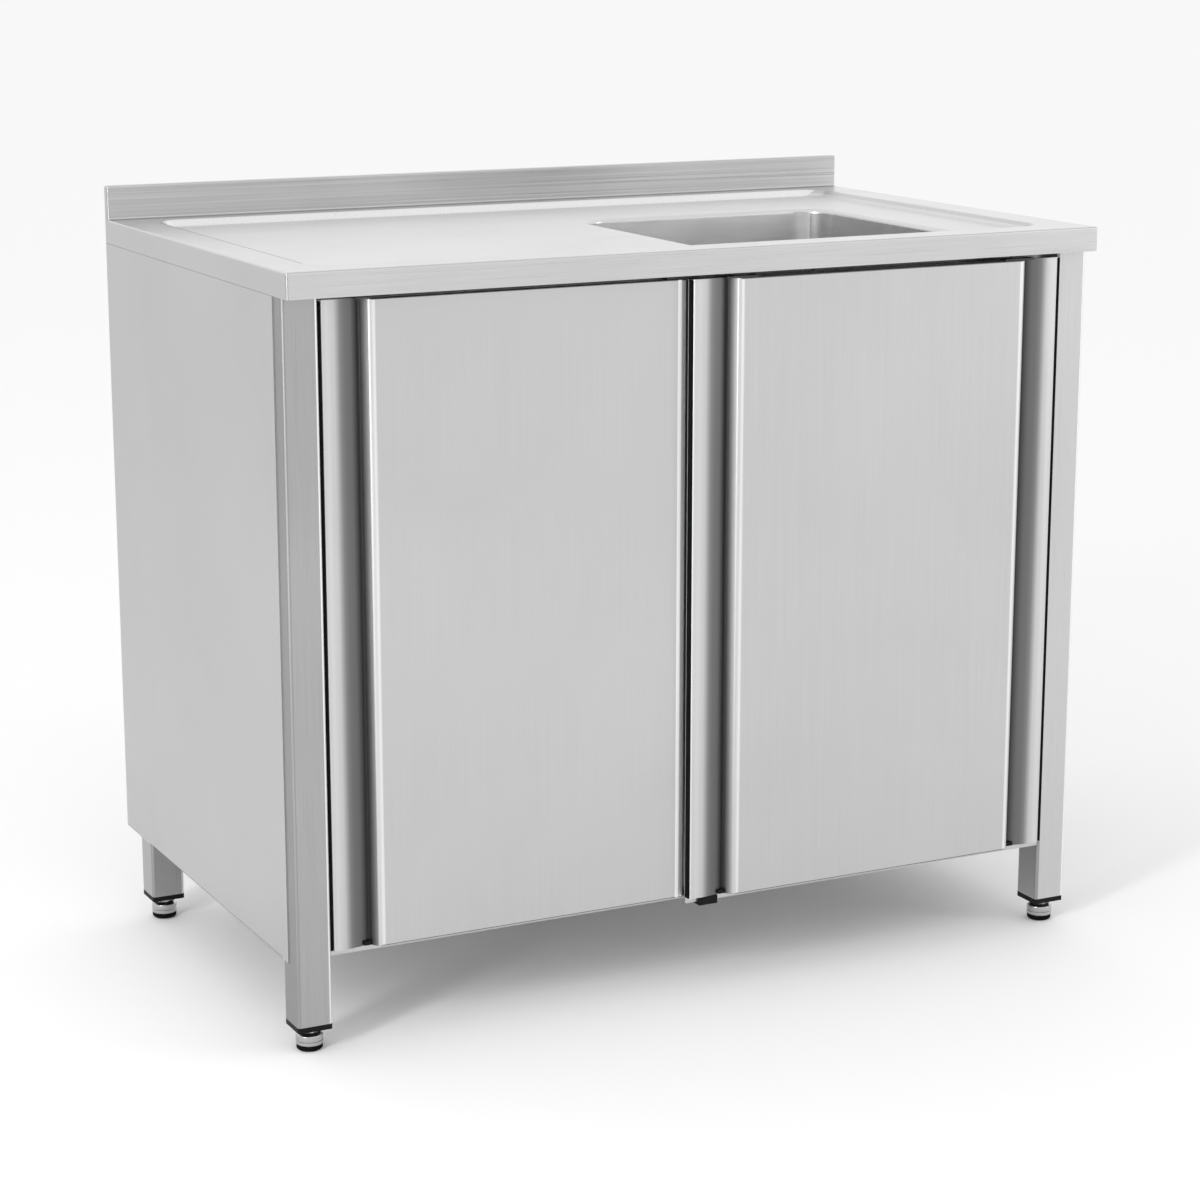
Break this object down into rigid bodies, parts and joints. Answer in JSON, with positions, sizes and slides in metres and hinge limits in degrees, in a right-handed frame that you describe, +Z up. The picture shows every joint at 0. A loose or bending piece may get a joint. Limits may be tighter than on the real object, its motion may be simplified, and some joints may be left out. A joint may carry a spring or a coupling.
{
  "type": "sink cabinet",
  "caption": "Steel sink cabinet with a pressed worktop, a bowl at the right, a low upstand, sliding doors with finger grooves and square legs on adjustable feet.",
  "frame": {"origin": "on the floor below the middle of the worktop", "axes": "+X to the right along the width, the doors face -Y, +Z up from the floor"},
  "size_m": [1, 0.6, 0.89],
  "materials": {
    "worktop_steel": "fine brushed",
    "bowl_steel": "satin",
    "panel_steel": "brushed",
    "door_steel": "brushed",
    "frame_steel": "brushed",
    "polished_steel": "polished",
    "zinc_steel": "zinc plated",
    "underlay_board": "raw board",
    "door_core": "raw board",
    "white_plastic": "satin",
    "black_plastic": "matte",
    "black_rubber": "matte"
  },
  "bodies": {
    "cabinet": {"worktop": "worktop_steel", "underlay_board": "underlay_board", "sink_bowl": "bowl_steel", "overflow_cover": "polished_steel", "overflow_elbow": "white_plastic", "overflow_pipe": "white_plastic", "strainer_dish": "polished_steel", "waste_gasket": "black_rubber", "waste_body": "white_plastic", "waste_screw": "zinc_steel", "tail_pipe": "white_plastic", "trap_nuts": "white_plastic", "trap_body": "white_plastic", "trap_cup": "white_plastic", "outlet_pipe": "white_plastic", "leg_front_left": "frame_steel", "leg_front_right": "frame_steel", "leg_rear_left": "frame_steel", "leg_rear_right": "frame_steel", "cap_front_left": "black_plastic", "cap_front_right": "black_plastic", "cap_rear_left": "black_plastic", "cap_rear_right": "black_plastic", "side_panel_left": "panel_steel", "side_panel_right": "panel_steel", "back_panel": "panel_steel", "back_panel_screws": "zinc_steel", "base_shelf": "panel_steel", "shelf_beam": "panel_steel", "front_rail": "frame_steel", "rear_rail": "frame_steel", "side_rail_left": "frame_steel", "side_rail_right": "frame_steel", "front_track": "frame_steel", "rear_track": "frame_steel", "track_buffers": "black_rubber", "bottom_guide": "black_plastic", "guide_screws": "zinc_steel"},
    "front_door": {"front_door_skin": "door_steel", "front_door_back": "door_steel", "front_door_core": "door_core", "front_door_hangers": "zinc_steel"},
    "front_door_left_wheels": {"front_door_wheel_left": "white_plastic"},
    "front_door_right_wheels": {"front_door_wheel_right": "white_plastic"},
    "rear_door": {"rear_door_skin": "door_steel", "rear_door_back": "door_steel", "rear_door_core": "door_core", "rear_door_hangers": "zinc_steel"},
    "rear_door_left_wheels": {"rear_door_wheel_left": "white_plastic"},
    "rear_door_right_wheels": {"rear_door_wheel_right": "white_plastic"},
    "basket": {"basket_strainer": "polished_steel", "strainer_seal": "black_rubber"},
    "front_left_foot": {"foot_front_left": "polished_steel", "pad_front_left": "black_rubber"},
    "front_right_foot": {"foot_front_right": "polished_steel", "pad_front_right": "black_rubber"},
    "rear_left_foot": {"foot_rear_left": "polished_steel", "pad_rear_left": "black_rubber"},
    "rear_right_foot": {"foot_rear_right": "polished_steel", "pad_rear_right": "black_rubber"}
  },
  "joints": [
    {"name": "front_door_slide", "type": "slide", "parent": "cabinet", "child": "front_door", "axis": [-1, 0, 0], "range_m": [0, 0.4278]},
    {"name": "rear_door_slide", "type": "slide", "parent": "cabinet", "child": "rear_door", "axis": [1, 0, 0], "range_m": [0, 0.4278]},
    {"name": "front_door_left_wheel_turn", "type": "hinge", "parent": "front_door", "child": "front_door_left_wheels", "pos_m": [0.032, -0.2895, 0.8345], "axis": [0, -1, 0], "range_deg": [0, 2740]},
    {"name": "front_door_right_wheel_turn", "type": "hinge", "parent": "front_door", "child": "front_door_right_wheels", "pos_m": [0.3958, -0.2895, 0.8345], "axis": [0, -1, 0], "range_deg": [0, 2740]},
    {"name": "rear_door_left_wheel_turn", "type": "hinge", "parent": "rear_door", "child": "rear_door_left_wheels", "pos_m": [-0.3958, -0.27, 0.8345], "axis": [0, 1, 0], "range_deg": [0, 2740]},
    {"name": "rear_door_right_wheel_turn", "type": "hinge", "parent": "rear_door", "child": "rear_door_right_wheels", "pos_m": [-0.032, -0.27, 0.8345], "axis": [0, 1, 0], "range_deg": [0, 2740]},
    {"name": "basket_lift", "type": "slide", "parent": "cabinet", "child": "basket", "axis": [0, 0, 1], "range_m": [0, 0.08]},
    {"name": "front_left_foot_height", "type": "slide", "parent": "cabinet", "child": "front_left_foot", "axis": [0, 0, -1], "range_m": [0, 0.025]},
    {"name": "front_right_foot_height", "type": "slide", "parent": "cabinet", "child": "front_right_foot", "axis": [0, 0, -1], "range_m": [0, 0.025]},
    {"name": "rear_left_foot_height", "type": "slide", "parent": "cabinet", "child": "rear_left_foot", "axis": [0, 0, -1], "range_m": [0, 0.025]},
    {"name": "rear_right_foot_height", "type": "slide", "parent": "cabinet", "child": "rear_right_foot", "axis": [0, 0, -1], "range_m": [0, 0.025]}
  ],
  "couplings": [
    {"joint": "front_door_left_wheel_turn", "follows": "front_door_slide", "rad_per_m": 111.11},
    {"joint": "front_door_right_wheel_turn", "follows": "front_door_slide", "rad_per_m": 111.11},
    {"joint": "rear_door_left_wheel_turn", "follows": "rear_door_slide", "rad_per_m": 111.11},
    {"joint": "rear_door_right_wheel_turn", "follows": "rear_door_slide", "rad_per_m": 111.11}
  ]
}
